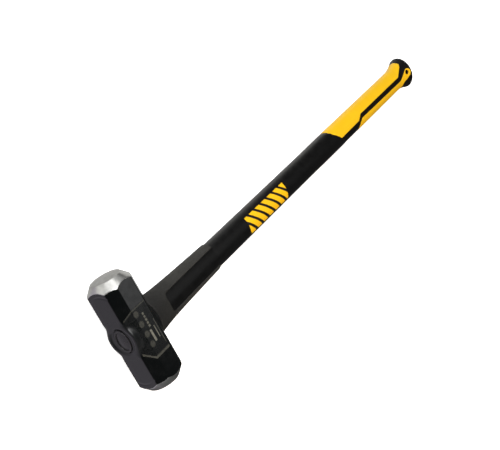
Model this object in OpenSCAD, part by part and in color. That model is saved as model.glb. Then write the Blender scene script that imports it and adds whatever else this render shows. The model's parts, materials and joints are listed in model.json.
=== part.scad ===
// Two-handed sledgehammer with a composite handle, lying on one cheek of its head.
// X runs along the handle from the head to the butt, Y along the head, Z up.
// The origin is on the ground under the centre of the head. Millimetres.

/* [Head] */
// Length of the head from one striking face to the other
head_len = 168; // [150:1:190]
// Width of the head from cheek to cheek
head_w = 59; // [56:0.5:64]
// Height of the head along the handle
head_h = 56; // [54:0.5:62]
// Width of the facets that face along the handle
head_facet = 33.5; // [31:0.5:36]
// Radius of the flat-looking crowned striking face
face_r = 21.75; // [18:0.25:24]
// Height of the crown on each striking face
crown_h = 2.5; // [1:0.1:4]
// Axial depth of the turned bevel for each millimetre of radius
bevel_slope = 1.11; // [0.8:0.01:1.3]
// Radius of the round boss that swells the head round the eye
boss_r = 25.5; // [24:0.5:27]
// Rounding of the boss's upper and lower rims
boss_round = 4; // [2:0.5:5]

/* [Eye] */
// Long half-axis of the oval eye
eye_r = 17.5; // [17:0.25:18]
// Short half-axis of the eye as a part of the long one
eye_ratio = 0.7; // [0.65:0.01:0.75]
// Radius of the round recess at the top of the eye
recess_r = 19.5; // [18.5:0.25:21]
// Depth of that recess
recess_depth = 3; // [2:0.25:4]
// Thickness of the resin between the eye and the handle
bond_t = 1.5; // [1:0.25:2]

/* [Handle] */
// Overall length from the top of the head to the end of the butt
total_len = 914; // [860:1:950]
// Half-width of the handle across the swing direction
shaft_r = 20.4; // [19.5:0.1:21]
// Thickness of every handle section as a part of its width
oval = 0.78; // [0.72:0.01:0.85]
// Half-width of the glass-fibre core
core_r = 9; // [7:0.5:11]
// Half-width of the jacket inside the grip
jacket_grip_r = 17.5; // [16.5:0.25:18]

/* [Overstrike collar] */
// Distance from the head's centre to the collar's grip end
collar_end = 186; // [175:1:210]
// Half-width of the collar at its grip end
collar_end_r = 21.9; // [21:0.1:22]
// Straight growth of the collar's half-width towards the head
collar_taper = 4.7; // [4:0.1:6]
// Extra flare of the half-width right at the head
collar_flare = 3.4; // [2:0.1:4]
// Thickness of the rubber
collar_t = 1.6; // [1.4:0.1:1.8]
// Half-width of the open window on each cheek side
window_half = 15; // [12:0.5:16]
// Distance from the head's centre to the closed end of the window
window_start = 58; // [50:1:80]
// Radius of the window's two closed corners
window_round = 9; // [5:0.5:11]

/* [Grip] */
// Half-width of the grip
grip_r = 21.0; // [20:0.1:22]
// Thickness of the two yellow shells
shell_t = 1.8; // [1.4:0.1:2]
// Half-width of the flared butt
butt_r = 30; // [26:0.5:32]
// Length over which the butt flares out
flare_len = 40; // [30:1:44]
// Rounding of the butt's rim
butt_round = 6; // [4:0.5:7]
// Radius of the lanyard hole
lanyard_r = 4.5; // [4:0.25:4.75]

/* [Labels] */
// Distance from the head's centre to the label on the handle
shaft_label_x = 275; // [200:1:300]
// Length of the label on the handle
shaft_label_len = 117; // [80:1:160]
// Width of the label on the handle
shaft_label_w = 27; // [20:1:28]
// Length of the label on the head
head_label_len = 73; // [50:1:80]
// Thickness of both printed films
film_t = 0.2; // [0.15:0.05:0.3]

/* [Hidden] */
$fn = 96;
big = 200;

// Head
top_x = -head_h / 2;
root_x = head_h / 2;
leg = (head_w - head_facet) / 2;
crown_r = (face_r * face_r + crown_h * crown_h) / (2 * crown_h);

// Eye and the plug that closes it
recess_x = top_x + recess_depth;
recess_draft = 1;
plug_gap = 0.5;
plug_top = top_x + 0.7;
plug_lip = 3.5;
plug_recess = 1.5;
plug_dome = 0.12;
tang_r = eye_r - bond_t;
tang_ratio = (eye_r * eye_ratio - bond_t) / tang_r;

// Stations along the handle
butt_x = total_len - head_h / 2;
rim_x = butt_x - butt_round;
flare_x = rim_x - flare_len;
jacket_lap_x = 606;
core_end = flare_x + 8;
jacket_end = flare_x + 12;
neck_start = 480;
neck_end = 556;
lanyard_x = butt_x - 17;
pocket_proud = 2;
collar_steps = 24;
curve_steps = 12;
arc_steps = 6;
flare_power = 1.6;
collar_power = 6;

// Lower edges of the two labels, measured from the handle's axis along the head
shaft_label_y = -15;
head_label_y = -38.5;
head_label_inset = 2;

// Half-width of the collar's outside at x, from the shaft end to the flare at the head
function collar_r(x) =
    let (u = (collar_end - x) / (collar_end - root_x))
    collar_end_r + collar_taper * u + collar_flare * pow(u, collar_power);

// Half-width of the shaft's neck and of the butt's flare at x
function smooth(u) = u * u * (3 - 2 * u);
function neck_r(x) = shaft_r + (grip_r - shaft_r) * smooth((x - neck_start) / (neck_end - neck_start));
function butt_flare_r(x) = grip_r + (butt_r - grip_r) * pow((x - flare_x) / flare_len, flare_power);

// Points on an arc, angles in degrees, counted evenly from a0 to a1
function arc(cx, cy, r, a0, a1, n = arc_steps) = [
    for (i = [0:n]) let (a = a0 + (a1 - a0) * i / n) [cx + r * cos(a), cy + r * sin(a)],
];

// Outer profile of the handle as [half-width, x]
collar_profile = [
    for (i = [0:collar_steps]) let (x = root_x + (collar_end - root_x) * i / collar_steps) [collar_r(x), x],
];
neck_profile = [
    for (i = [0:curve_steps]) let (x = neck_start + (neck_end - neck_start) * i / curve_steps) [neck_r(x), x],
];
flare_profile = [
    for (i = [0:curve_steps]) let (x = flare_x + flare_len * i / curve_steps) [butt_flare_r(x), x],
];
rim_profile = [
    for (i = [1:arc_steps]) let (a = 90 * i / arc_steps)
        [butt_r - butt_round + butt_round * cos(a), rim_x + butt_round * sin(a)],
];
grip_profile = concat([[grip_r, neck_end]], flare_profile, rim_profile);

// Everything is drawn about the handle's axis and lifted so that the back cheek is on the ground
module lift() {
    translate([0, 0, head_w / 2]) children();
}

// A body turned about the handle's axis from [half-width, x] points
module turned(points) {
    rotate([0, 90, 0]) rotate_extrude() polygon(points);
}

// The same, flattened to the handle's oval section
module oval_turned(points, ratio = oval) {
    scale([1, 1, ratio]) turned(points);
}

// A straight oval bar from x0 to x1
module oval_bar(r, x0, x1, ratio = oval) {
    scale([1, 1, ratio]) translate([x0, 0, 0]) rotate([0, 90, 0]) cylinder(r = r, h = x1 - x0);
}

// The space above and below an outline drawn on the plane of the handle and the head
module through(points) {
    translate([0, 0, -big / 2]) linear_extrude(big) polygon(points);
}

// The profile closed down to the axis, a solid body
module solid_profile(points) {
    last = len(points) - 1;
    oval_turned(concat([[0, points[0][1]]], points, [[0, points[last][1]]]));
}

// The profile as a skin of thickness t, open at both ends, and standing proud where it is a cutter
module skin(points, t, proud = 0) {
    last = len(points) - 1;
    oval_turned(concat(
        [for (p = points) [p[0] + proud, p[1]]],
        [for (i = [last:-1:0]) [points[i][0] - t, points[i][1]]]
    ));
}

// The lanyard hole, which runs straight through the cap and both sides of the short shell
module lanyard_hole() {
    translate([lanyard_x, 0, -big / 2]) cylinder(r = lanyard_r, h = big);
}

// Plan of the grip: a slanted edge at the head end and open towards the butt
grip_outline = [
    [561, 30], [562, 20.7], [564, 17], [569, 10.3], [578, 2.5], [587, -5.6],
    [596, -12], [602, -18], [604, -30], [big + total_len, -30], [big + total_len, 30],
];

// Plan of the long shell: slanted start, kinked lower edge, rounded end on the flare
long_corner = [flare_x + 23, 19];
long_outline = concat(
    [[563, 40], [564, 20.7], [566, 17], [571, 10.3], [580, 2.8], [588.5, -5.2]],
    [[658, -4.6], [672, 3.4], [flare_x - 2, 3]],
    arc(long_corner[0], long_corner[1], 5, -50, 10),
    [[flare_x + 26.5, 40]]
);

// Plan of the short shell: pointed start, straight upper edge, tongue round the lanyard hole
tongue = [lanyard_x + 1.8, -1.2];
tongue_r = 8.1;
short_outline = concat(
    [[655, -40], [658, -15.5], [663, -10.3], [672, -4.8], [flare_x + 4, -6.6]],
    arc(tongue[0], tongue[1], tongue_r, 118, -62, 2 * arc_steps),
    [[flare_x + 10, -19.6], [flare_x + 4, -40]]
);

// Plan of the window in the collar: closed and rounded towards the head, open at the far end
window_outline = concat(
    [[collar_end + 1, -window_half]],
    [[collar_end + 1, window_half]],
    arc(window_start + window_round, window_half - window_round, window_round, 90, 180),
    arc(window_start + window_round, -window_half + window_round, window_round, 180, 270)
);

// The raised boss round the eye, with rounded rims
module boss() {
    turned(concat(
        [[0, top_x]],
        arc(boss_r - boss_round, top_x + boss_round, boss_round, -90, 0),
        arc(boss_r - boss_round, root_x - boss_round, boss_round, 0, 90),
        [[0, root_x]]
    ));
}

// Octagonal bar, crowned and bevelled at both ends
module head_bar() {
    half = head_len / 2;
    rim_y = half - crown_h;
    outer_r = face_r + rim_y / bevel_slope;
    intersection() {
        rotate([90, 0, 0]) linear_extrude(head_len, center = true) polygon([
            [top_x, leg - head_w / 2], [top_x, head_w / 2 - leg],
            [top_x + leg, head_w / 2], [root_x - leg, head_w / 2],
            [root_x, head_w / 2 - leg], [root_x, leg - head_w / 2],
            [root_x - leg, -head_w / 2], [top_x + leg, -head_w / 2],
        ]);
        rotate([90, 0, 0]) rotate_extrude() polygon([
            [0, half], [face_r, half], [face_r, rim_y], [outer_r, 0],
            [face_r, -rim_y], [face_r, -half], [0, -half],
        ]);
        translate([0, half - crown_r, 0]) sphere(r = crown_r);
        translate([0, crown_r - half, 0]) sphere(r = crown_r);
    }
}

module head() {
    color("dimgray") lift() difference() {
        union() {
            head_bar();
            boss();
        }
        oval_bar(eye_r, top_x - 1, root_x + 1, eye_ratio);
        turned([[0, top_x - 1], [recess_r, top_x - 1], [recess_r, top_x], [recess_r - recess_draft, recess_x],
            [0, recess_x]]);
    }
}

module eye_bond() {
    color("darkslategray") lift() difference() {
        oval_bar(eye_r, recess_x, root_x, eye_ratio);
        oval_bar(tang_r, recess_x - 1, root_x + 1, tang_ratio);
    }
}

module eye_plug() {
    dome_r = eye_r - plug_gap - plug_lip;
    color("black") lift() {
        difference() {
            oval_bar(eye_r - plug_gap, plug_top, recess_x, eye_ratio);
            oval_bar(dome_r, plug_top - 1, plug_top + plug_recess, eye_ratio);
        }
        translate([plug_top + plug_recess, 0, 0]) scale([plug_dome, 1, eye_ratio]) intersection() {
            sphere(r = dome_r);
            translate([-dome_r, -dome_r, -dome_r]) cube([dome_r, 2 * dome_r, 2 * dome_r]);
        }
    }
}

module core_rod() {
    color("wheat") lift() oval_bar(core_r, recess_x, core_end);
}

module shaft_jacket() {
    color("black") lift() difference() {
        union() {
            difference() {
                solid_profile(concat(
                    [for (p = collar_profile) [p[0] - collar_t, p[1]]],
                    [[shaft_r, collar_end]],
                    neck_profile,
                    [[grip_r, jacket_lap_x]]
                ));
                through(grip_outline);
            }
            oval_bar(tang_r, recess_x, root_x, tang_ratio);
            oval_bar(jacket_grip_r, neck_end, jacket_end);
        }
        oval_bar(core_r, recess_x - 1, core_end);
    }
}

module overstrike_collar() {
    color("darkolivegreen") lift() difference() {
        skin(collar_profile, collar_t);
        through(window_outline);
    }
}

module grip_sleeve() {
    color("black") lift() difference() {
        intersection() {
            skin([[grip_r, neck_end], [grip_r, flare_x]], grip_r - jacket_grip_r);
            through(grip_outline);
        }
        shell_pockets();
    }
}

module butt_cap() {
    color("black") lift() difference() {
        solid_profile(concat(flare_profile, rim_profile));
        oval_bar(jacket_grip_r, flare_x - 1, jacket_end);
        shell_pockets();
        lanyard_hole();
    }
}

// The part of the grip's skin that lies inside an outline
module shell_body(outline, proud = 0) {
    intersection() {
        skin(grip_profile, shell_t, proud);
        through(outline);
    }
}

// The pockets that the two shells fill
module shell_pockets() {
    shell_body(long_outline, pocket_proud);
    shell_body(short_outline, pocket_proud);
}

module grip_shell_long() {
    color("gold") lift() shell_body(long_outline);
}

module grip_shell_short() {
    color("gold") lift() difference() {
        shell_body(short_outline);
        lanyard_hole();
    }
}

// Printed film on the label side of the shaft
module shaft_label() {
    x0 = shaft_label_x;
    x1 = x0 + shaft_label_len;
    color("gold") lift() intersection() {
        difference() {
            oval_bar(shaft_r + film_t, x0, x1);
            oval_bar(shaft_r, x0 - 1, x1 + 1);
        }
        translate([x0 - 1, shaft_label_y, 0]) cube([shaft_label_len + 2, shaft_label_w, big]);
    }
}

// Printed film folded over the head's upper cheek and the chamfer above it
module head_label() {
    start_x = top_x + head_label_inset;
    end_x = root_x - leg - head_label_inset;
    fold = film_t * tan(22.5);
    cheek = head_w / 2;
    start_z = cheek - leg + head_label_inset;
    diag = film_t / sqrt(2);
    color("dimgray") lift() translate([0, head_label_y, 0]) rotate([90, 0, 0]) mirror([0, 0, 1])
        linear_extrude(head_label_len) polygon([
            [start_x, start_z],
            [top_x + leg, cheek],
            [end_x, cheek],
            [end_x, cheek + film_t],
            [top_x + leg - fold, cheek + film_t],
            [start_x - diag, start_z + diag],
        ]);
}

head();
eye_bond();
eye_plug();
core_rod();
shaft_jacket();
overstrike_collar();
grip_sleeve();
grip_shell_long();
grip_shell_short();
butt_cap();
shaft_label();
head_label();
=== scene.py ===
"""Looks of the sledgehammer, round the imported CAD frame. Lengths are in millimetres until a mesh is made."""

import json
import math

import bmesh
import bpy
import numpy as np
from mathutils import Matrix, Vector


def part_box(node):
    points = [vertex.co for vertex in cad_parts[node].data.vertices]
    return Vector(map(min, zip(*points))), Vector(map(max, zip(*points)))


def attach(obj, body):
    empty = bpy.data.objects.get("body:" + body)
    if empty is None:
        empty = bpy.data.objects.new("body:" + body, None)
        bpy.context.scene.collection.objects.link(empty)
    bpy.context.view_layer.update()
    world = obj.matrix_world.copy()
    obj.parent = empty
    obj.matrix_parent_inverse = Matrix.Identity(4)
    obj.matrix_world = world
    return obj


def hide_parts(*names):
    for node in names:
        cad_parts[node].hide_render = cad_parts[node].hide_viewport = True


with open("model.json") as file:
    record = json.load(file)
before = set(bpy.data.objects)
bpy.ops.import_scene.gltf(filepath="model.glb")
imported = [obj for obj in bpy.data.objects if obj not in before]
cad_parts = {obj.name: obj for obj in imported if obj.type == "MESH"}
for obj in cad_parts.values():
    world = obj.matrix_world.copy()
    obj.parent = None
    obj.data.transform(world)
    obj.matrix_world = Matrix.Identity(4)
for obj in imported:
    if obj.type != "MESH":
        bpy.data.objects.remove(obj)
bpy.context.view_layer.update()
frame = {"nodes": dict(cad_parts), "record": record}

MM = 0.001


def node_box(node):
    """Lowest and highest corner of a CAD node, in millimetres."""
    low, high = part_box(node)
    return np.array(low) / MM, np.array(high) / MM


# ---------------------------------------------------------------- driving dimensions, from the frame

HEAD_LOW, HEAD_HIGH = node_box("head")
HEAD_H, HEAD_LEN, HEAD_W = HEAD_HIGH - HEAD_LOW
AXIS_Z = HEAD_W / 2
TOP_X, ROOT_X = HEAD_LOW[0], HEAD_HIGH[0]
COLLAR_END = node_box("overstrike_collar")[1][0]
BUTT_LOW, BUTT_HIGH = node_box("butt_cap")
FLARE_X, BUTT_X = BUTT_LOW[0], BUTT_HIGH[0]
BUTT_R = (BUTT_HIGH[1] - BUTT_LOW[1]) / 2
LANYARD = np.array(frame["record"]["mounts"][2]["pos_m"]) / MM
LANYARD_R = frame["record"]["mounts"][2]["dims"]["r_mm"]

# Head: facets, crowned faces, turned bevels, the boss round the eye and the arcs pressed in near each end
FACET = 33.5
FACET_ROUND = 1.1
CHAMFER_LEG = (HEAD_W - FACET) / 2
FACE_R = 21.75
CROWN_H = 2.5
BEVEL_SLOPE = 1.11
RIM_Y = HEAD_LEN / 2 - CROWN_H
BOSS_R = 25.5
BOSS_ROUND = 4.0
BOSS_FILLET = 4.0
GROOVE_IN = 5.0
GROOVE_W = 1.4
EYE_R = 17.5
EYE_RATIO = 0.7
# The recess over the eye is drawn shallower than in the CAD, as it reads in the photo
RECESS_R = 19.5
RECESS_DEPTH = 1.9

# Plug in the eye: depth of its base under the top facet, clearance, lip, dish and dome
PLUG_BASE = 3.0
PLUG_GAP = 0.5
PLUG_LIP = 3.2
PLUG_RISE = 1.5
PLUG_ROUND = 0.8
PLUG_DISH = 0.9
PLUG_DOME = 1.0

# Handle: every section is an oval whose height is OVAL of its width
OVAL = 0.78
SHAFT_R = 20.4
GRIP_R = 21.0
SWELL = (480.0, 556.0)
JACKET_LAP = 606.0
COLLAR_END_R = 21.9
COLLAR_TAPER = 4.7
COLLAR_FLARE = 3.4
COLLAR_T = 1.6
COLLAR_EDGE = 0.6
WINDOW_HALF = 15.0
WINDOW_X = 58.0
WINDOW_ROUND = 9.0
WINDOW_POWER = 2.6
BUTT_ROUND = 6.0
FLARE_LEN = BUTT_X - BUTT_ROUND - FLARE_X
FLARE_POWER = 1.6
SHELL_T = 1.6
SHELL_EDGE = 0.7
STRIPE_DROP = 0.35
HOLE_MOUTH = 2.2
HOLE_FLARE = 1.0

# Shaft label: how far its stripes lean over, their spacing and the yellow share of it
STRIPE_LEAN = 1.0
STRIPE_PITCH = 18.4
STRIPE_YELLOW = 0.64

# Head label: how far each end leans in on the chamfer, then its border strips as (distance in, half-width,
# tone)
LABEL_TAPER_LOW = 15.0
LABEL_TAPER_HIGH = 9.0
LABEL_STRIP_LOW = (1.9, 1.5, 0.32)
LABEL_STRIP_HIGH = (1.2, 0.8, 0.20)
# Plain bars as (centre x, half-width, first y, last y, tone), then a row of short ones
LABEL_BARS = [
    (-1.5, 1.7, -19.3, -2.5, 1.0),
    (7.0, 0.8, -18.8, -1.4, 0.7),
    (11.6, 0.4, -30.0, 6.5, 0.35),
] + [(0.8, 1.5, 1.0 + 4.6 * k, 4.0 + 4.6 * k, 0.6) for k in range(5)]
# Row of plain discs
LABEL_DISCS = 4
LABEL_DISC_X = -9.8
LABEL_DISC_Y = -19.0
LABEL_DISC_PITCH = 15.0
LABEL_DISC_R = 4.3
LABEL_DISC_TONE = 0.20


# ---------------------------------------------------------------- small mesh tools


def make_piece(name, verts, faces, material, node, normals=None):
    """A mesh object in the row frame that stands for a CAD node."""
    mesh = bpy.data.meshes.new(name)
    mesh.from_pydata((np.asarray(verts) * MM).tolist(), [], faces)
    mesh.validate()
    mesh.update()
    mesh.shade_smooth()
    if normals is not None:
        mesh.normals_split_custom_set_from_vertices(normals.tolist())
    obj = bpy.data.objects.new(name, mesh)
    bpy.context.scene.collection.objects.link(obj)
    mesh.materials.append(material)
    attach(obj, "root")
    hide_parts(node)
    return obj


def grid_faces(columns, rows, closed=False, start=0):
    """Quads of a grid whose vertex (i, j) has the index start + i * rows + j."""
    i = np.arange(columns - 1)[:, None]
    j = np.arange(rows if closed else rows - 1)[None, :]
    k = (j + 1) % rows
    a, b, c, d = i * rows + j, (i + 1) * rows + j, (i + 1) * rows + k, i * rows + k
    return (start + np.stack(np.broadcast_arrays(a, d, c, b), -1).reshape(-1, 4)).tolist()


def weld(obj, distance=1e-6):
    """Joins the vertices that lie on each other and drops faces that have no area."""
    bm = bmesh.new()
    bm.from_mesh(obj.data)
    bmesh.ops.remove_doubles(bm, verts=bm.verts, dist=distance)
    bmesh.ops.dissolve_degenerate(bm, edges=bm.edges, dist=distance)
    bmesh.ops.recalc_face_normals(bm, faces=bm.faces)
    bm.to_mesh(obj.data)
    bm.free()
    obj.data.shade_smooth()


def crease(obj, degrees=50):
    """Keeps edges sharp where the surface turns by more than this."""
    obj.data.set_sharp_from_angle(angle=math.radians(degrees))


def cut(obj, cutter):
    """Takes the cutter's shape out of obj and removes the cutter."""
    mod = obj.modifiers.new("cut", "BOOLEAN")
    mod.object = cutter
    mod.operation = "DIFFERENCE"
    mod.solver = "EXACT"
    done = bpy.data.meshes.new_from_object(obj.evaluated_get(bpy.context.evaluated_depsgraph_get()))
    obj.modifiers.remove(mod)
    old = obj.data
    obj.data = done
    done.name = obj.name
    bpy.data.meshes.remove(old)
    bpy.data.objects.remove(cutter)
    obj.data.shade_smooth()
    crease(obj, 40)


# ---------------------------------------------------------------- handle surface


def collar_r(x):
    """Half-width of the collar's outside at x."""
    u = np.clip((COLLAR_END - x) / (COLLAR_END - ROOT_X), 0, 1)
    return COLLAR_END_R + COLLAR_TAPER * u + COLLAR_FLARE * u**6


def smooth(u):
    """Eases from 0 to 1."""
    u = np.clip(u, 0, 1)
    return u * u * (3 - 2 * u)


def grip_r(x):
    """Half-width of the shaft, its neck, the grip and the flared butt at x."""
    neck = SHAFT_R + (GRIP_R - SHAFT_R) * smooth((x - SWELL[0]) / (SWELL[1] - SWELL[0]))
    u = np.clip((x - FLARE_X) / FLARE_LEN, 0, 1)
    flare = (BUTT_R - GRIP_R) * u**FLARE_POWER
    past = np.clip(x - (BUTT_X - BUTT_ROUND), 0, BUTT_ROUND * 0.999)
    rim = BUTT_ROUND - np.sqrt(BUTT_ROUND**2 - past**2)
    return neck + flare - rim


def on_handle(x, angle, r):
    """Point of the oval section at x: angle 0 is +Y, a right angle is +Z."""
    x, angle, r = np.broadcast_arrays(x, angle, r)
    return np.stack([x, r * np.cos(angle), AXIS_Z + OVAL * r * np.sin(angle)], -1)


def loft(stations, radii, around, cap_start, cap_end, shape=None):
    """A closed oval body of rings; shape(x, angle) lowers the surface locally."""
    angle = np.linspace(0, 2 * math.pi, around, endpoint=False)[None, :]
    x = np.asarray(stations, float)[:, None]
    r = np.asarray(radii, float)[:, None] + np.zeros_like(angle)
    if shape is not None:
        r = r - shape(x + 0 * angle, angle + 0 * x)
    verts = on_handle(x, angle, r).reshape(-1, 3)
    faces = grid_faces(len(stations), around, closed=True)
    if cap_start:
        faces.append(list(range(around))[::-1])
    if cap_end:
        last = (len(stations) - 1) * around
        faces.append([last + k for k in range(around)])
    return verts, faces


EDGE_STEPS = np.array([0.0, 0.05, 0.16, 0.36, 0.65, 1.0])


def patch(xs, a0, a1, radius, thick, edge=0.9, rows=40, open_a0=None, open_a1=None, open_ends=True):
    """A shell that covers the angles a0 to a1 of the oval at each x, with rounded outer edges.

    radius(x) gives the outer half-width. open_a0 and open_a1 say at which x the side is a real edge, which is
    rounded off by edge and closed down to the inner skin. Elsewhere the side meets a neighbour.
    """
    xs, a0, a1 = (np.asarray(v, float) for v in (xs, a0, a1))
    every = np.ones(len(xs), bool)
    open_a0 = every if open_a0 is None else open_a0
    open_a1 = every if open_a1 is None else open_a1
    r = radius(xs)
    length = (a1 - a0) * r * (1 + OVAL) / 2
    near = np.minimum(edge * 1.3, 0.3 * length)
    inner = np.linspace(0, 1, rows + 1)[1:-1]
    s = np.concatenate([
        near[:, None] * EDGE_STEPS[None, :],
        near[:, None] + (length - 2 * near)[:, None] * inner[None, :],
        length[:, None] - near[:, None] * EDGE_STEPS[None, ::-1],
    ], 1)
    angle = a0[:, None] + (a1 - a0)[:, None] * s / np.maximum(length[:, None], 1e-9)
    x = xs[:, None] + 0 * angle
    flat = np.stack([x, angle * r[:, None] * (1 + OVAL) / 2], -1)
    n, m = x.shape
    index = np.arange(n * m).reshape(n, m)
    rims = [(index[:, 0], open_a0), (index[:, -1], open_a1)]
    if open_ends:
        rims += [(index[0], np.ones(m, bool)), (index[-1], np.ones(m, bool))]
    points = flat.reshape(-1, 2)
    border = np.concatenate([densify(points[line[is_open]], 0.5) for line, is_open in rims])
    deep = np.clip(1 - nearest(points, border).reshape(n, m) / edge, 0, 1)
    drop = edge * (1 - np.sqrt(np.maximum(1 - deep**2, 0)))
    outer = on_handle(x, angle, r[:, None] - drop)
    under = on_handle(x, angle, r[:, None] - thick)
    faces = grid_faces(n, m) + [f[::-1] for f in grid_faces(n, m, start=n * m)]
    for line, is_open in rims:
        for k in np.nonzero(is_open[:-1] & is_open[1:])[0]:
            p, q = int(line[k]), int(line[k + 1])
            faces.append([p, q, q + n * m, p + n * m])
    return np.concatenate([outer.reshape(-1, 3), under.reshape(-1, 3)]), faces


def densify(line, step):
    """Points along a polyline no further apart than step."""
    out = [line[:1]]
    for a, b in zip(line[:-1], line[1:]):
        k = max(1, int(np.ceil(np.linalg.norm(b - a) / step)))
        out.append(a + (b - a) * (np.arange(1, k + 1) / k)[:, None])
    return np.concatenate(out)


def nearest(points, border):
    """Distance from each point to the nearest border point."""
    best = np.empty(len(points))
    for i in range(0, len(points), 2000):
        d = points[i:i + 2000, None, :] - border[None, :, :]
        best[i:i + 2000] = np.sqrt((d**2).sum(-1).min(1))
    return best


def round_corners(points, radius, steps=6):
    """The polyline with each inner corner replaced by an arc-like curve of about that radius."""
    pts = [np.array(p, float) for p in points]
    out = [pts[0]]
    for before, at, after in zip(pts[:-2], pts[1:-1], pts[2:]):
        u, v = before - at, after - at
        lu, lv = np.linalg.norm(u), np.linalg.norm(v)
        half = 0.5 * math.acos(np.clip(u @ v / (lu * lv), -1, 1))
        tangent = min(radius / math.tan(half), 0.45 * lu, 0.45 * lv)
        p, q = at + u / lu * tangent, at + v / lv * tangent
        for k in range(steps + 1):
            w = k / steps
            out.append((1 - w) ** 2 * p + 2 * w * (1 - w) * at + w * w * q)
    out.append(pts[-1])
    return np.array(out)


# ---------------------------------------------------------------- head as a smooth solid


def smax(a, b, k):
    """Maximum of two distances with a rounded edge of size k."""
    h = np.maximum(k - np.abs(a - b), 0) / k
    return np.maximum(a, b) + h * h * k / 4


def smin(a, b, k):
    """Minimum of two distances with a fillet of size k."""
    return -smax(-a, -b, k)


def head_distance(p):
    """Signed distance to the head's surface, about: negative inside."""
    x, y, z = p[..., 0], p[..., 1], p[..., 2] - AXIS_Z
    ax, ay, az = np.abs(x), np.abs(y), np.abs(z)
    top, cheek = ax - HEAD_H / 2, az - HEAD_W / 2
    chamfer = (ax + az - (HEAD_H / 2 + HEAD_W / 2 - CHAMFER_LEG)) / math.sqrt(2)
    wall = np.sqrt(y * y + z * z) - BOSS_R
    sides = smin(smax(cheek, chamfer, FACET_ROUND), wall, BOSS_FILLET)
    near_boss = smooth((BOSS_R + BOSS_ROUND - ay) / (2 * BOSS_ROUND))
    body = smax(sides, top, FACET_ROUND + (BOSS_ROUND - FACET_ROUND) * near_boss)
    around = np.hypot(x, z)
    bevel = (ay - RIM_Y + BEVEL_SLOPE * (around - FACE_R)) / math.sqrt(1 + BEVEL_SLOPE**2)
    crown_r = (FACE_R**2 + CROWN_H**2) / (2 * CROWN_H)
    crown = np.hypot(around, ay + crown_r - HEAD_LEN / 2) - crown_r
    groove = np.hypot(bevel + GROOVE_IN, top - GROOVE_W / 2) - GROOVE_W * 0.85
    body = smax(body, -groove, 0.5)
    return smax(body, smax(bevel, crown, 0.7), 0.4)


def eye_distance(p):
    """Signed distance to the space of the eye and the recess at its top."""
    x, y, z = p[..., 0], p[..., 1], p[..., 2] - AXIS_Z
    hole = (np.sqrt(y * y + (z / EYE_RATIO) ** 2) - EYE_R) * EYE_RATIO
    depth = x - TOP_X
    recess = smax(np.hypot(y, z) - RECESS_R + depth / 3, depth - RECESS_DEPTH, 1.5)
    return smin(hole, recess, 1.5)


def head_shape(p):
    """The whole head: the body less the eye, with softened lips."""
    return smax(head_distance(p), -eye_distance(p), 2.0)


def gradient(f, p, h=0.02):
    """Unit normals of the distance f at the points p."""
    g = np.stack([f(p + h * e) - f(p - h * e) for e in np.eye(3)], -1) / (2 * h)
    return g / np.maximum(np.linalg.norm(g, axis=-1, keepdims=True), 1e-9)


def settle(f, p, level=0.0, rounds=5):
    """Moves the points p on to the surface where f has that level."""
    for _ in range(rounds):
        p = p - gradient(f, p) * (f(p) - level)[:, None] * 0.9
    return p


def surface_net(f, low, high, step):
    """Vertices and quads of the surface f = 0 inside a box, one vertex for each cell that it crosses."""
    axes = [np.arange(a, b + step, step) for a, b in zip(low, high)]
    shape = [len(a) for a in axes]
    values = np.empty(shape)
    for i, x in enumerate(axes[0]):
        y, z = np.meshgrid(axes[1], axes[2], indexing="ij")
        values[i] = f(np.stack([np.full_like(y, x), y, z], -1))
    inside = values < 0
    cells = [n - 1 for n in shape]
    total, count = np.zeros(cells + [3]), np.zeros(cells)
    faces = []
    for axis in range(3):
        lo = [slice(None)] * 3
        hi = [slice(None)] * 3
        lo[axis], hi[axis] = slice(None, -1), slice(1, None)
        lo, hi = tuple(lo), tuple(hi)
        i, j, k = np.nonzero(inside[lo] != inside[hi])
        va, vb = values[lo][i, j, k], values[hi][i, j, k]
        at = np.stack([i, j, k], -1).astype(float)
        at[:, axis] += va / (va - vb)
        u, v = [d for d in range(3) if d != axis]
        base = np.stack([i, j, k], -1)
        corners = []
        for du, dv in ((0, 0), (-1, 0), (-1, -1), (0, -1)):
            c = base.copy()
            c[:, u] += du
            c[:, v] += dv
            corners.append(c)
        ok = np.all([((c >= 0) & (c < cells)).all(1) for c in corners], 0)
        corners = [c[ok] for c in corners]
        for c in corners:
            np.add.at(total, tuple(c.T), at[ok])
            np.add.at(count, tuple(c.T), 1)
        flat = np.stack([np.ravel_multi_index(c.T, cells) for c in corners], -1)
        flip = inside[lo][i, j, k][ok] ^ (axis == 1)
        flat[~flip] = flat[~flip][:, ::-1]
        faces.append(flat)
    faces = np.concatenate(faces)
    used, faces = np.unique(faces, return_inverse=True)
    c = total.reshape(-1, 3)[used] / count.reshape(-1)[used][:, None]
    verts = c * step + np.array(low)
    return verts, faces.reshape(-1, 4)


# ---------------------------------------------------------------- materials


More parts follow.
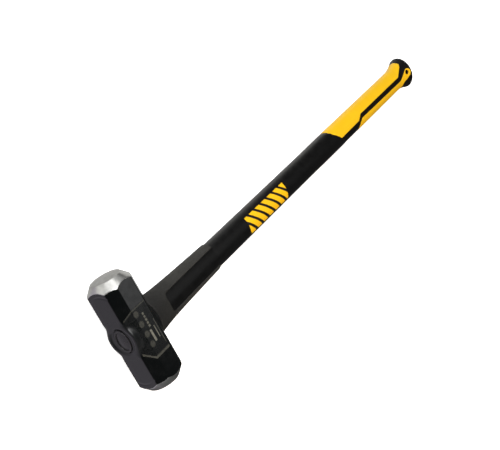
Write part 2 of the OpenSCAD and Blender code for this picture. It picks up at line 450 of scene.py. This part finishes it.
class Shader:
    """A material whose nodes are added with one call each."""

    def __init__(self, name):
        self.material = bpy.data.materials.new(name)
        self.material.use_nodes = True
        self.tree = self.material.node_tree
        self.tree.nodes.clear()
        self.out = self.tree.nodes.new("ShaderNodeOutputMaterial")
        self.bsdf = self.tree.nodes.new("ShaderNodeBsdfPrincipled")
        self.tree.links.new(self.bsdf.outputs[0], self.out.inputs[0])
        self.where = self.tree.nodes.new("ShaderNodeTexCoord").outputs["Object"]

    def set(self, **values):
        """Feeds the surface's inputs by name, with _ for a space."""
        for name, value in values.items():
            self.feed(self.bsdf.inputs[name.replace("_", " ")], value)

    def feed(self, socket, value):
        """Links a node's output to a socket, or sets it to a number or colour; None leaves it alone."""
        if isinstance(value, bpy.types.NodeSocket):
            self.tree.links.new(value, socket)
            return
        if value is None:
            return
        if socket.type == "RGBA":
            value = (*value, 1.0)
        socket.default_value = value

    def math(self, op, a, b=None):
        node = self.tree.nodes.new("ShaderNodeMath")
        node.operation = op
        for socket, value in zip(node.inputs, (a, b)):
            self.feed(socket, value)
        return node.outputs[0]

    def length(self, a, b):
        """Length of the vector that has these two components."""
        return self.math("SQRT", self.math("ADD", self.math("MULTIPLY", a, a), self.math("MULTIPLY", b, b)))

    def off(self, value, centre):
        """How far a value is from a centre given in millimetres."""
        return self.math("ABSOLUTE", self.math("SUBTRACT", value, centre * MM))

    def parts(self):
        """The x, y and z of the surface point, in metres."""
        node = self.tree.nodes.new("ShaderNodeSeparateXYZ")
        self.feed(node.inputs[0], self.where)
        return node.outputs

    def vector(self, x, y, z):
        node = self.tree.nodes.new("ShaderNodeCombineXYZ")
        for socket, value in zip(node.inputs, (x, y, z)):
            self.feed(socket, value)
        return node.outputs[0]

    def noise(self, size_mm, detail=2.0, rough=0.5, vector=None):
        """Noise whose features are about size_mm across, 0 to 1."""
        node = self.tree.nodes.new("ShaderNodeTexNoise")
        self.feed(node.inputs["Vector"], vector or self.where)
        node.inputs["Scale"].default_value = 1.0 / (size_mm * MM)
        node.inputs["Detail"].default_value = detail
        node.inputs["Roughness"].default_value = rough
        return node.outputs["Fac"]

    def cells(self, size_mm):
        """Distance to the nearest of many scattered points about size_mm apart."""
        node = self.tree.nodes.new("ShaderNodeTexVoronoi")
        self.feed(node.inputs["Vector"], self.where)
        node.inputs["Scale"].default_value = 1.0 / (size_mm * MM)
        return node.outputs["Distance"]

    def step(self, value, low, high, to_low=0.0, to_high=1.0):
        """Maps low..high to to_low..to_high, smoothly and clamped."""
        node = self.tree.nodes.new("ShaderNodeMapRange")
        node.interpolation_type = "SMOOTHSTEP"
        for socket, v in zip(node.inputs, (value, low, high, to_low, to_high)):
            self.feed(socket, v)
        return node.outputs[0]

    def mix(self, fac, a, b, how="MIX"):
        """Colour a where fac is 0, and b where it is 1."""
        node = self.tree.nodes.new("ShaderNodeMix")
        node.data_type = "RGBA"
        node.blend_type = how
        self.feed(node.inputs["Factor"], fac)
        self.feed(node.inputs[6], a)
        self.feed(node.inputs[7], b)
        return node.outputs[2]

    def bump(self, height, depth_mm, strength, under=None):
        """A normal for fine relief, laid over the relief in under."""
        node = self.tree.nodes.new("ShaderNodeBump")
        node.inputs["Strength"].default_value = strength
        node.inputs["Distance"].default_value = depth_mm * MM
        self.feed(node.inputs["Height"], height)
        if under is not None:
            self.feed(node.inputs["Normal"], under)
        return node.outputs[0]


def head_material():
    """Gloss black paint, with ground bare steel on the faces and the turned bevels."""
    s = Shader("head_paint_and_steel")
    x, y, z = s.parts()
    z = s.math("SUBTRACT", z, AXIS_Z * MM)
    around = s.length(x, z)
    ay = s.math("ABSOLUTE", y)

    # Steel starts just short of the bevel's edge, or of the face's rim, along a slightly uneven line
    edge = s.math("ADD", ay, s.math("MULTIPLY", around, BEVEL_SLOPE))
    past_bevel = s.math("SUBTRACT", edge, (RIM_Y + BEVEL_SLOPE * FACE_R - 0.75) * MM)
    past_rim = s.math("SUBTRACT", ay, (RIM_Y - 1.0) * MM)
    wander = s.math("MULTIPLY", s.math("SUBTRACT", s.noise(6, 3), 0.5), 0.9 * MM)
    past_paint = s.math("ADD", s.math("MAXIMUM", past_bevel, past_rim), wander)
    steel = s.step(past_paint, -0.1 * MM, 0.1 * MM)

    # Turning marks run round the head's long axis: rings in the relief, streaks in the tone
    turn = s.vector(s.math("MULTIPLY", around, 60.0), s.math("MULTIPLY", ay, 60.0), 0.0)
    rings = s.noise(18, 3, 0.6, vector=turn)
    angle = s.math("ARCTAN2", x, z)
    sweep = s.vector(s.math("MULTIPLY", angle, 0.01), s.math("MULTIPLY", around, 1.5), 0.0)
    streaks = s.noise(2.2, 4, 0.65, vector=sweep)
    stain = s.step(s.noise(14, 4, 0.6), 0.35, 0.7)
    bare = s.mix(stain, (0.40, 0.40, 0.385), (0.52, 0.52, 0.50))
    bare = s.mix(s.step(streaks, 0.5, 0.8, 0.0, 0.25), bare, (0.33, 0.33, 0.32))
    steel_rough = s.step(streaks, 0.2, 0.8, 0.27, 0.36)

    # The paint is duller on the boss, where the casting under it is rougher
    paint = s.mix(s.noise(30, 3), (0.0009, 0.0014, 0.0015), (0.0017, 0.0024, 0.0026))
    on_boss = s.step(s.length(y, z), (BOSS_R + 1.0) * MM, (BOSS_R + 9.0) * MM, 0.22, 0.0)
    paint_rough = s.math("ADD", s.step(s.noise(9, 3), 0.3, 0.7, 0.10, 0.17), on_boss)

    painted = s.math("SUBTRACT", 1.0, steel)
    rough = s.math("ADD", s.math("MULTIPLY", steel, steel_rough), s.math("MULTIPLY", painted, paint_rough))
    s.set(Base_Color=s.mix(steel, paint, bare), Metallic=steel, Roughness=rough)
    peel = s.bump(s.noise(2.6, 2), 0.02, 0.4)
    height = s.math("ADD", s.math("MULTIPLY", rings, steel), s.math("MULTIPLY", steel, -0.4))
    s.set(Normal=s.bump(height, 0.02, 0.5, under=peel))
    return s.material


def plastic_material(name, dark, light, rough, grain_mm, grain_depth, specular=0.45):
    """Moulded plastic or rubber: two close tones, fine grain, roughness that wanders."""
    s = Shader(name)
    s.set(Base_Color=s.mix(s.noise(24, 3), dark, light))
    s.set(Roughness=s.step(s.noise(11, 3), 0.3, 0.7, rough - 0.04, rough + 0.05))
    s.bsdf.inputs["Specular IOR Level"].default_value = specular
    fine = s.bump(s.noise(grain_mm, 2, 0.6), grain_depth, 0.6)
    s.set(Normal=s.bump(s.noise(7, 2), 0.05, 0.25, under=fine))
    return s.material


def collar_material():
    """Warm dark rubber with a fine leathery grain, with painted shade that darkens it near the head."""
    s = Shader("collar_rubber")
    x, _, _ = s.parts()
    # Painted shade: the colour is cut to about a third near the head, standing in for the head's shadow on the
    # collar
    painted_shade_near_head = s.mix(s.step(x, 35 * MM, 105 * MM), (0.32, 0.32, 0.32), (1.0, 1.0, 1.0))
    tone = s.mix(s.noise(16, 4), (0.018, 0.0172, 0.0148), (0.029, 0.028, 0.0245))
    s.set(Base_Color=s.mix(1.0, tone, painted_shade_near_head, "MULTIPLY"))
    s.set(Roughness=s.step(s.noise(9, 3), 0.3, 0.7, 0.62, 0.74))
    s.bsdf.inputs["Specular IOR Level"].default_value = 0.35
    s.set(Normal=s.bump(s.cells(0.9), 0.16, 0.7))
    return s.material


def shaft_label_material():
    """Black printed film with plain slanted yellow stripes from end to end."""
    s = Shader("shaft_label_print")
    x, y, _ = s.parts()
    low, high = node_box("shaft_label")
    along = s.math("SUBTRACT", x, (low[0] + high[0]) / 2 * MM)
    slant = s.math("ADD", along, s.math("MULTIPLY", y, STRIPE_LEAN))
    place = s.math("FRACT", s.math("DIVIDE", slant, STRIPE_PITCH * MM))
    from_middle = s.math("ABSOLUTE", s.math("SUBTRACT", place, 0.5))
    ink = s.step(from_middle, STRIPE_YELLOW / 2, STRIPE_YELLOW / 2 + 0.015, 1.0, 0.0)
    yellow = s.mix(s.noise(12, 3), (0.95, 0.50, 0.004), (0.99, 0.58, 0.008))
    s.set(Base_Color=s.mix(ink, (0.006, 0.0055, 0.005), yellow))
    s.set(Roughness=s.step(s.noise(5, 3), 0.3, 0.7, 0.28, 0.36))
    s.set(Normal=s.bump(s.noise(1.2, 2), 0.02, 0.4))
    return s.material


def head_label_material(low, high):
    """Dark printed film with pale border strips, plain bars and a row of plain discs."""
    s = Shader("head_label_print")
    x, y, _ = s.parts()

    def inside(distance, half, soft, tone):
        """The tone where a distance is under a half-width, and 0 outside it; both widths in millimetres."""
        return s.step(distance, half * MM, (half + soft) * MM, tone, 0.0)

    def strip(from_end, taper, place):
        """A border strip that follows the film's end as it leans in on the chamfer."""
        middle, half, tone = place
        from_edge = s.math("SUBTRACT", from_end, s.math("MULTIPLY", lean, taper * MM))
        return inside(s.off(from_edge, middle), half, 0.2, tone)

    fold = (TOP_X + CHAMFER_LEG) * MM
    lean = s.math("DIVIDE", s.math("MAXIMUM", s.math("SUBTRACT", fold, x), 0.0), CHAMFER_LEG * MM)
    from_low = s.math("SUBTRACT", y, low[1] * MM)
    from_high = s.math("SUBTRACT", high[1] * MM, y)
    marks = [
        strip(from_low, LABEL_TAPER_LOW, LABEL_STRIP_LOW),
        strip(from_high, LABEL_TAPER_HIGH, LABEL_STRIP_HIGH),
    ]
    for centre, half, start, stop, tone in LABEL_BARS:
        across = inside(s.off(x, centre), half, 0.2, tone)
        along = inside(s.off(y, (start + stop) / 2), (stop - start) / 2, 0.3, 1.0)
        marks.append(s.math("MULTIPLY", across, along))
    for k in range(LABEL_DISCS):
        away = s.length(s.off(x, LABEL_DISC_X), s.off(y, LABEL_DISC_Y + k * LABEL_DISC_PITCH))
        marks.append(inside(away, LABEL_DISC_R, 0.3, LABEL_DISC_TONE))
    ink = marks[0]
    for mark in marks[1:]:
        ink = s.math("MAXIMUM", ink, mark)
    ink = s.math("MULTIPLY", ink, s.step(s.noise(3, 3), 0.3, 0.6, 0.7, 1.0))
    s.set(Base_Color=s.mix(ink, (0.0014, 0.0020, 0.0021), (0.165, 0.165, 0.140)))
    s.set(Roughness=s.step(s.noise(6, 3), 0.3, 0.7, 0.24, 0.32))
    s.set(Normal=s.bump(s.noise(1.5, 2), 0.02, 0.4))
    return s.material


HEAD_MAT = head_material()
JACKET_MAT = plastic_material(
    "jacket_nylon", (0.0008, 0.0008, 0.0008), (0.0018, 0.0017, 0.0016), 0.36, 0.7, 0.03, 0.36)
GRIP_MAT = plastic_material(
    "grip_rubber", (0.0008, 0.0006, 0.0005), (0.0016, 0.0013, 0.0010), 0.44, 0.6, 0.04, 0.24)
YELLOW_MAT = plastic_material(
    "shell_yellow", (0.93, 0.515, 0.004), (0.98, 0.585, 0.008), 0.42, 0.7, 0.03)
PLUG_MAT = plastic_material(
    "plug_nylon", (0.012, 0.0118, 0.0135), (0.018, 0.0177, 0.02), 0.30, 0.8, 0.03)
RESIN_MAT = plastic_material(
    "cast_resin", (0.02, 0.0195, 0.0215), (0.03, 0.0295, 0.032), 0.3, 1.0, 0.05)
CORE_MAT = plastic_material(
    "glass_fibre", (0.5, 0.46, 0.34), (0.64, 0.6, 0.47), 0.5, 0.5, 0.04)
COLLAR_MAT = collar_material()


# ---------------------------------------------------------------- pieces


def build_head():
    low = HEAD_LOW - 2.0
    high = HEAD_HIGH + 2.0
    verts, faces = surface_net(head_shape, low, high, 0.8)
    verts = settle(head_shape, verts)
    verts = np.clip(verts, HEAD_LOW, HEAD_HIGH)
    normals = gradient(head_shape, verts)
    return make_piece("head", verts, faces.tolist(), HEAD_MAT, "head", normals)


def label_limits(x, low, high):
    """Lowest and highest y of the head's label at x: it narrows on the chamfer, towards the boss."""
    lean = np.clip(1 - (x - TOP_X) / CHAMFER_LEG, 0, 1)
    return low[1] + LABEL_TAPER_LOW * lean, high[1] - LABEL_TAPER_HIGH * lean


def build_head_label():
    """A thin film folded over the chamfer and the cheek, cut away round the boss."""
    low, high = node_box("head_label")
    fold_x = TOP_X + CHAMFER_LEG
    across = np.linspace(0, 1, 92)[None, :]
    rough_y = low[1] + (high[1] - low[1]) * across
    start = TOP_X + 2.5 + 7.0 * smooth((BOSS_R - np.abs(rough_y)) / 9)
    chamfer_x = start + (fold_x - start) * np.linspace(0, 1, 22)[:, None]
    cheek_x = fold_x + (high[0] - fold_x) * np.linspace(0, 1, 40)[1:, None] + 0 * across
    x = np.concatenate([chamfer_x, cheek_x])
    bottom, top = label_limits(x, low, high)
    y = bottom + (top - bottom) * across
    z = HEAD_W - np.maximum(fold_x - x, 0)
    flat = np.stack([x, y, z], -1).reshape(-1, 3)
    film = settle(head_distance, flat, 0.12, 12)
    base = settle(head_distance, flat, -0.25, 12)
    n, m = x.shape
    faces = grid_faces(n, m) + [f[::-1] for f in grid_faces(n, m, start=n * m)]
    index = np.arange(n * m).reshape(n, m)
    for line in (index[:, 0], index[:, -1], index[0], index[-1]):
        for p, q in zip(line[:-1].tolist(), line[1:].tolist()):
            faces.append([p, q, q + n * m, p + n * m])
    obj = make_piece("head_label", np.concatenate([film, base]), faces, head_label_material(low, high),
                     "head_label")
    weld(obj)
    crease(obj, 40)
    return obj


def build_plug():
    """Oval plug: a rounded raised lip round a shallow dished top with a soft dome."""
    outer = EYE_R - PLUG_GAP
    inner = outer - PLUG_LIP
    quarter = [math.pi / 2 * k / 6 for k in range(7)]
    rings = [(outer, -0.2)]
    for a in quarter:
        rings.append((outer - PLUG_ROUND * (1 - math.cos(a)), PLUG_RISE + PLUG_ROUND * math.sin(a)))
    for a in quarter[::-1]:
        rings.append((inner + PLUG_ROUND * (1 - math.cos(a)), PLUG_RISE + PLUG_ROUND * math.sin(a)))
    rings.append((inner, PLUG_DISH))
    for k in range(1, 13):
        u = 1 - k / 13
        rings.append(((inner - 0.3) * u, PLUG_DISH + PLUG_DOME * (1 - u * u)))
    around = 128
    angle = np.linspace(0, 2 * math.pi, around, endpoint=False)
    base_x = TOP_X + PLUG_BASE
    verts = []
    for r, h in rings:
        x = np.full(around, base_x - h)
        verts.append(np.stack([x, r * np.cos(angle), AXIS_Z + r * EYE_RATIO * np.sin(angle)], -1))
    verts = np.concatenate(verts)
    faces = grid_faces(len(rings), around, closed=True)
    last = (len(rings) - 1) * around
    faces.append([last + k for k in range(around)])
    faces.append(list(range(around))[::-1])
    obj = make_piece("eye_plug", verts, faces, PLUG_MAT, "eye_plug")
    weld(obj)
    crease(obj)
    return obj


def build_jacket():
    """Black shaft: flared under the collar, straight, then swelling a little into the grip."""
    under = np.linspace(ROOT_X, COLLAR_END, 60)
    straight = np.linspace(COLLAR_END + COLLAR_EDGE, SWELL[0], 40)
    swell = np.linspace(SWELL[0] + 4, JACKET_LAP, 40)
    shaft = np.concatenate([straight, swell])
    xs = np.concatenate([under, shaft, [JACKET_LAP, JACKET_LAP + 0.5]])
    rs = np.concatenate([collar_r(under) - COLLAR_T, grip_r(shaft), [GRIP_R - 2.0, GRIP_R - 2.5]])

    def under_sleeve(x, angle):
        y = GRIP_R * np.cos(angle)
        start = np.interp(-y, -SLEEVE_START[:, 1], SLEEVE_START[:, 0])
        return 1.2 * smooth((x - start - 1.0) / 3.0)

    verts, faces = loft(xs, rs, 128, True, True, under_sleeve)
    obj = make_piece("shaft_jacket", verts, faces, JACKET_MAT, "shaft_jacket")
    crease(obj, 40)
    return obj


def build_collar():
    """Rubber sleeve with a window on each cheek side, made of two mirrored halves."""
    corner = np.linspace(0, math.pi / 2, 14)[1:]
    wx = WINDOW_X + WINDOW_ROUND * (1 - np.cos(corner) ** (2 / WINDOW_POWER))
    wy = WINDOW_HALF * np.sin(corner) ** (2 / WINDOW_POWER)
    ring_x = np.linspace(ROOT_X, WINDOW_X, 28)
    strip_x = np.linspace(WINDOW_X + WINDOW_ROUND, COLLAR_END, 60)[1:]
    end_x = COLLAR_END - np.array([0.6, 0.35, 0.15, 0.0])
    strip_x = np.concatenate([strip_x[:-1], end_x])
    xs = np.concatenate([ring_x, wx, strip_x])
    half = np.concatenate([np.zeros_like(ring_x), wy, np.full_like(strip_x, WINDOW_HALF)])
    a = np.arccos(half / collar_r(xs))
    is_open = np.append(half[1:] > 0, True)
    verts, faces = patch(xs, -a, a, collar_r, COLLAR_T + 0.3, COLLAR_EDGE, 56, is_open, is_open)
    other = verts * [1, -1, 1]
    both = np.concatenate([verts, other])
    faces = faces + [[v + len(verts) for v in f[::-1]] for f in faces]
    obj = make_piece("overstrike_collar", both, faces, COLLAR_MAT, "overstrike_collar")
    weld(obj, 2e-6)
    crease(obj)
    return obj


# Where the grip sleeve starts on the cheek side, and the outlines of the two yellow shells, as [x, y]
SLEEVE_START = round_corners(
    [[562, 19.0], [564, 17], [569, 10.3], [578, 2.5], [587, -5.6], [596, -12], [603, -19]], 12)
LONG_FRONT = round_corners([[563.5, GRIP_R], [566.5, 16.8], [572, 10.0], [580.5, 2.2], [588.5, -5.2]], 14)
LONG_EDGE = np.concatenate([LONG_FRONT, round_corners([
    [588.5, -5.2], [658, -4.6], [672, 3.4],
    [FLARE_X - 2, 3.0], [FLARE_X + 21, 15.5], [FLARE_X + 27, 20.0], [FLARE_X + 27.5, grip_r(FLARE_X + 27.5)],
], 2.2)[1:]])
TONGUE = (LANYARD[0] + 1.8, -1.2)
TONGUE_R = 8.1


def short_edges():
    """Upper and lower outline of the short shell at common stations."""
    cx, cy = TONGUE
    arc = np.radians(np.linspace(118, 0, 20))
    upper = np.concatenate([
        round_corners([[655, -GRIP_R], [658, -15.5], [663, -10.3], [672, -4.8], [FLARE_X + 4, -6.4],
                       [cx + TONGUE_R * math.cos(arc[0]), cy + TONGUE_R * math.sin(arc[0])]], 3.0),
        np.stack([cx + TONGUE_R * np.cos(arc[1:]), cy + TONGUE_R * np.sin(arc[1:])], -1),
    ])
    arc = np.radians(np.linspace(-62, 0, 12))
    lower = np.concatenate([
        [[FLARE_X + 4, -grip_r(FLARE_X + 4)], [FLARE_X + 6.5, -20.0], [FLARE_X + 10, -18.2]],
        np.stack([cx + TONGUE_R * np.cos(arc), cy + TONGUE_R * np.sin(arc)], -1),
    ])
    xs = np.unique(np.concatenate([upper[:, 0], lower[:, 0], np.arange(680, FLARE_X, 4.0)]))
    xs = xs[np.concatenate([[True], np.diff(xs) > 0.02])]
    top = np.interp(xs, upper[:, 0], upper[:, 1])
    bottom = np.interp(xs, lower[:, 0], lower[:, 1])
    bottom = np.where(xs < lower[0, 0], -1e3, bottom)
    return xs, top, bottom


def inside_shells(x, y):
    """How far a point of the grip's plan is inside either yellow outline, across the handle."""
    long_edge = np.interp(x, LONG_EDGE[:, 0], LONG_EDGE[:, 1], left=1e3, right=1e3)
    xs, top, bottom = short_edges()
    upper = np.interp(x, xs, top, left=-1e3, right=-1e3)
    lower = np.interp(x, xs, bottom, left=1e3, right=1e3)
    return np.maximum(y - long_edge, np.minimum(upper - y, y - lower))


def pocket(x, angle):
    """Depth of the pockets for the yellow shells, whose rims are hidden under the shells' own edges."""
    y = grip_r(x) * np.cos(angle)
    return STRIPE_DROP + (SHELL_T - STRIPE_DROP + 0.1) * smooth((inside_shells(x, y) - 1.2) / 1.5)


def build_sleeve():
    """Black rubber sleeve under the yellow shells, whose slanted front edge laps on to the shaft."""
    count = 330
    angle = np.linspace(0, 2 * math.pi, 144, endpoint=False)[None, :]
    start = np.interp(-GRIP_R * np.cos(angle), -SLEEVE_START[:, 1], SLEEVE_START[:, 0])
    t = np.linspace(0, 1, count)[:, None]
    x = start + (FLARE_X - start) * t
    r = grip_r(x) - pocket(x, angle)
    lip = np.clip(1 - (x - start) / 1.2, 0, 1)
    r = r + (STRIPE_DROP + 0.05) * smooth(lip * 2) - 0.9 * (1 - np.sqrt(1 - lip**2))
    verts = on_handle(x, angle, r).reshape(-1, 3)
    first = on_handle(start, angle, GRIP_R - 3.0).reshape(-1, 3)
    verts = np.concatenate([first, verts])
    faces = grid_faces(count + 1, angle.size, closed=True)
    faces.append(list(range(angle.size))[::-1])
    faces.append([count * angle.size + k for k in range(angle.size)])
    obj = make_piece("grip_sleeve", verts, faces, GRIP_MAT, "grip_sleeve")
    crease(obj)
    return obj


def lanyard_cutter():
    """A bar for the lanyard hole, flared softly where it leaves the butt."""
    around = 64
    angle = np.linspace(0, 2 * math.pi, around, endpoint=False)
    face_z = OVAL * grip_r(LANYARD[0])
    flare = [(LANYARD_R, 0.0), (LANYARD_R, face_z - HOLE_MOUTH)]
    for k in range(1, 7):
        a = math.pi / 2 * k / 6
        r = LANYARD_R + HOLE_FLARE * (1 - math.cos(a))
        flare.append((r, face_z - HOLE_MOUTH + HOLE_MOUTH * math.sin(a)))
    flare.append((LANYARD_R + HOLE_FLARE, face_z + 12))
    rings = [(r, -h) for r, h in flare[::-1]] + flare[1:]
    verts = np.concatenate([
        np.stack([LANYARD[0] + r * np.cos(angle), r * np.sin(angle), np.full(around, AXIS_Z + h)], -1)
        for r, h in rings
    ])
    faces = [f[::-1] for f in grid_faces(len(rings), around, closed=True)]
    faces.append(list(range(around))[::-1])
    faces.append([(len(rings) - 1) * around + k for k in range(around)])
    mesh = bpy.data.meshes.new("cutter")
    mesh.from_pydata((verts * MM).tolist(), [], faces)
    obj = bpy.data.objects.new("cutter", mesh)
    bpy.context.scene.collection.objects.link(obj)
    weld(obj)
    return obj


def build_butt():
    """Flared butt with a rounded rim and a shallow dish in its end."""
    flare = np.linspace(FLARE_X, BUTT_X - BUTT_ROUND, 44)
    a = np.linspace(0, math.pi / 2, 14)[1:]
    rim_x = BUTT_X - BUTT_ROUND + BUTT_ROUND * np.sin(a)
    rim_r = BUTT_R - BUTT_ROUND + BUTT_ROUND * np.cos(a)
    flat_r = BUTT_R - BUTT_ROUND
    dish_r = flat_r * np.array([0.9, 0.86, 0.83, 0.78, 0.6, 0.35, 0.1])
    dish_x = BUTT_X - np.array([0.0, 0.25, 0.8, 1.0, 1.05, 1.0, 1.0])
    xs = np.concatenate([flare, rim_x, dish_x])
    rs = np.concatenate([grip_r(flare), rim_r, dish_r])
    flush = len(flare) + 4

    def lower(x, angle):
        drop = pocket(np.minimum(x, BUTT_X - BUTT_ROUND * 0.3), angle)
        return np.where(np.arange(len(xs))[:, None] < flush, drop, STRIPE_DROP * 0.3)

    verts, faces = loft(xs, rs, 192, True, True, lower)
    obj = make_piece("butt_cap", verts, faces, GRIP_MAT, "butt_cap")
    cut(obj, lanyard_cutter())
    return obj


def build_long_shell():
    """Yellow shell that wraps over the +Y side of the grip as far as its outline."""
    line = LONG_EDGE
    straight = np.concatenate([np.arange(594, 655, 4.0), np.arange(676, FLARE_X - 4, 4.0)])
    xs = np.unique(np.concatenate([line[:, 0], straight]))
    edge = np.interp(xs, line[:, 0], line[:, 1])
    a = np.arccos(np.clip(edge / grip_r(xs), -1, 1))
    verts, faces = patch(xs, -a, a, grip_r, SHELL_T, edge=SHELL_EDGE, rows=48, open_ends=False)
    obj = make_piece("grip_shell_long", verts, faces, YELLOW_MAT, "grip_shell_long")
    weld(obj, 2e-6)
    crease(obj)
    return obj


def build_short_shell():
    """Yellow shell on the -Y side, narrowing to the tongue; its two halves mirror each other in z."""
    xs, top, bottom = short_edges()
    r = grip_r(xs)
    a0 = np.arccos(np.clip(top / r, -1, 1))
    a1 = np.arccos(np.clip(bottom / r, -1, 1))
    is_open = np.append(bottom[1:] > -r[1:], True)
    verts, faces = patch(xs, a0, a1, grip_r, SHELL_T, SHELL_EDGE, 40, open_a1=is_open, open_ends=False)
    other = verts * [1, 1, -1] + [0, 0, 2 * AXIS_Z]
    faces = faces + [[v + len(verts) for v in f[::-1]] for f in faces]
    obj = make_piece("grip_shell_short", np.concatenate([verts, other]), faces, YELLOW_MAT,
                     "grip_shell_short")
    weld(obj, 2e-6)
    cut(obj, lanyard_cutter())
    return obj


def build_shaft_label():
    """A thin printed film that follows the shaft's curve."""
    low, high = node_box("shaft_label")
    xs = np.linspace(low[0], high[0], 60)
    film_r = SHAFT_R + 0.18
    a0 = np.full_like(xs, math.acos(high[1] / film_r))
    a1 = np.full_like(xs, math.acos(low[1] / film_r))
    verts, faces = patch(xs, a0, a1, lambda x: film_r + 0 * x, 0.4, edge=0.15, rows=40)
    obj = make_piece("shaft_label", verts, faces, shaft_label_material(), "shaft_label")
    weld(obj)
    crease(obj)
    return obj


def dress_cad_nodes():
    """The hidden pieces keep their CAD shape and get a finished material."""
    for node, material in (("eye_bond", RESIN_MAT), ("core_rod", CORE_MAT)):
        mesh = frame["nodes"][node].data
        mesh.materials.clear()
        mesh.materials.append(material)


# ---------------------------------------------------------------- stage, lights and camera

CAMERA_AT = Vector((-0.8165, 0.4009, 1.0312))
CAMERA_AIM = Vector((0.2945, -0.0074, 0.0295))
CAMERA_UP = Vector((0.4878, 0.8511, 0.1941))
CAMERA_LENS = 73.8
FLOOR_TONE = 0.86
FLOOR_GLOW = 0.9
ROOM_GLOW = 0.06
# Cards on the floor that only reflections see: name, (x0, y0, x1, y1), brightness, tint
CARDS = (
    ("front_card", (-0.60, -0.40, -0.029, 0.12), 0.62, (0.98, 0.92, 1.05)),
    ("corner_card", (-1.50, 0.12, -0.029, 2.50), 1.2, (1.0, 1.0, 0.97)),
    ("face_card", (-0.029, 0.0, 0.12, 2.50), 0.6, (1.0, 0.99, 0.97)),
    ("side_card", (0.12, 0.0, 3.00, 2.50), 1.0, (1.0, 0.99, 0.96)),
)
# Softboxes: name, place, target, size, brightness and tint; all in metres
LIGHTS = (
    ("key", (-0.32, 1.49, 1.76), (0.4, 0.0, 0.03), (2.0, 1.6), 6.6),
    ("low_key", (-0.36, 1.55, 0.36), (0.0, 0.05, 0.03), (0.8, 0.6), 1.9),
    ("side_wall", (0.95, 2.20, 0.85), (0.3, 0.0, 0.1), (2.4, 1.3), 0.65),
    ("ceiling", (2.05, 0.05, 2.50), (0.0, 0.0, 0.0), (2.1, 0.6), 1.0),
    ("fill", (-0.45, -1.50, 1.15), (0.5, 0.0, 0.03), (1.8, 1.0), 6.4, (1.0, 0.84, 0.66), ("glossy",)),
    ("back_gloss", (-0.45, -1.50, 1.15), (0.5, 0.0, 0.03), (1.8, 1.0), 6.2, (1.0, 1.0, 1.0), ("diffuse",)),
)


def aimed(at, target, up=Vector((0, 0, 1))):
    """A matrix at a place, whose -Z looks at the target with its Y as near up as it can be."""
    back = (at - target).normalized()
    right = up.cross(back).normalized()
    over = back.cross(right)
    turn = Matrix((right, over, back)).transposed().to_4x4()
    return Matrix.Translation(at) @ turn


def build_camera():
    data = bpy.data.cameras.new("camera")
    data.lens = CAMERA_LENS
    data.sensor_width = 36.0
    data.clip_start = 0.05
    obj = bpy.data.objects.new("camera", data)
    bpy.context.scene.collection.objects.link(obj)
    obj.matrix_world = aimed(CAMERA_AT, CAMERA_AIM, CAMERA_UP)
    bpy.context.scene.camera = obj


def soft_light(name, at, target, size, radiance, colour=(1, 1, 1), hidden_from=()):
    """A rectangular softbox of a given brightness, aimed at a target and left out of some kinds of ray."""
    data = bpy.data.lights.new(name, "AREA")
    data.shape = "RECTANGLE"
    data.size, data.size_y = size
    data.energy = radiance * math.pi * size[0] * size[1]
    data.color = colour
    obj = bpy.data.objects.new(name, data)
    bpy.context.scene.collection.objects.link(obj)
    obj.matrix_world = aimed(Vector(at), Vector(target))
    for ray in hidden_from:
        setattr(obj, "visible_" + ray, False)


def glow_material(name, tone, glow, colour=(1, 1, 1)):
    """Plain pale surface that also gives off a little light of its own."""
    s = Shader(name)
    paler = tone + 0.02
    s.set(Base_Color=s.mix(s.noise(300, 2), (tone,) * 3, (paler,) * 3), Roughness=0.9)
    s.bsdf.inputs["Emission Color"].default_value = (*colour, 1)
    s.bsdf.inputs["Emission Strength"].default_value = glow
    return s.material


def stage_object(name, verts, faces, material, hidden_from):
    """Part of the studio; the kinds of ray in hidden_from pass straight through it."""
    mesh = bpy.data.meshes.new(name)
    mesh.from_pydata(verts, [], faces)
    mesh.shade_smooth()
    mesh.materials.append(material)
    obj = bpy.data.objects.new(name, mesh)
    bpy.context.scene.collection.objects.link(obj)
    for ray in hidden_from:
        setattr(obj, "visible_" + ray, False)
    return obj


def build_stage():
    """White sweep, cards that only reflections see, softboxes and a dim room."""
    around = 64
    profile = [(0.01, 0.0), (4.0, 0.0)]
    for k in range(1, 9):
        a = math.pi / 2 * k / 8
        profile.append((4.0 + 2.0 * math.sin(a), 2.0 - 2.0 * math.cos(a)))
    profile.append((6.0, 6.0))
    verts = []
    for r, height in profile:
        for k in range(around):
            a = 2 * math.pi * k / around
            verts.append((r * math.cos(a), r * math.sin(a), height))
    faces = grid_faces(len(profile), around, closed=True)
    faces.append(list(range(around)))
    pale = glow_material("pale_floor", FLOOR_TONE, FLOOR_GLOW)
    stage_object("floor", verts, faces, pale, ("glossy", "diffuse"))
    for name, (x0, y0, x1, y1), glow, colour in CARDS:
        card = [(x0, y0, 0.0005), (x1, y0, 0.0005), (x1, y1, 0.0005), (x0, y1, 0.0005)]
        stage_object(name, card, [(0, 1, 2, 3)], glow_material(name, 0.0, glow, colour),
                     ("camera", "diffuse", "shadow", "transmission"))
    world = bpy.data.worlds.new("studio")
    world.use_nodes = True
    world.node_tree.nodes["Background"].inputs[0].default_value = (1, 1, 1, 1)
    world.node_tree.nodes["Background"].inputs[1].default_value = ROOM_GLOW
    bpy.context.scene.world = world
    for light in LIGHTS:
        soft_light(*light)
    bpy.context.scene.view_settings.view_transform = "Standard"


build_camera()
build_stage()
dress_cad_nodes()
build_head()
build_head_label()
build_plug()
build_jacket()
build_collar()
build_sleeve()
build_butt()
build_long_shell()
build_short_shell()
build_shaft_label()
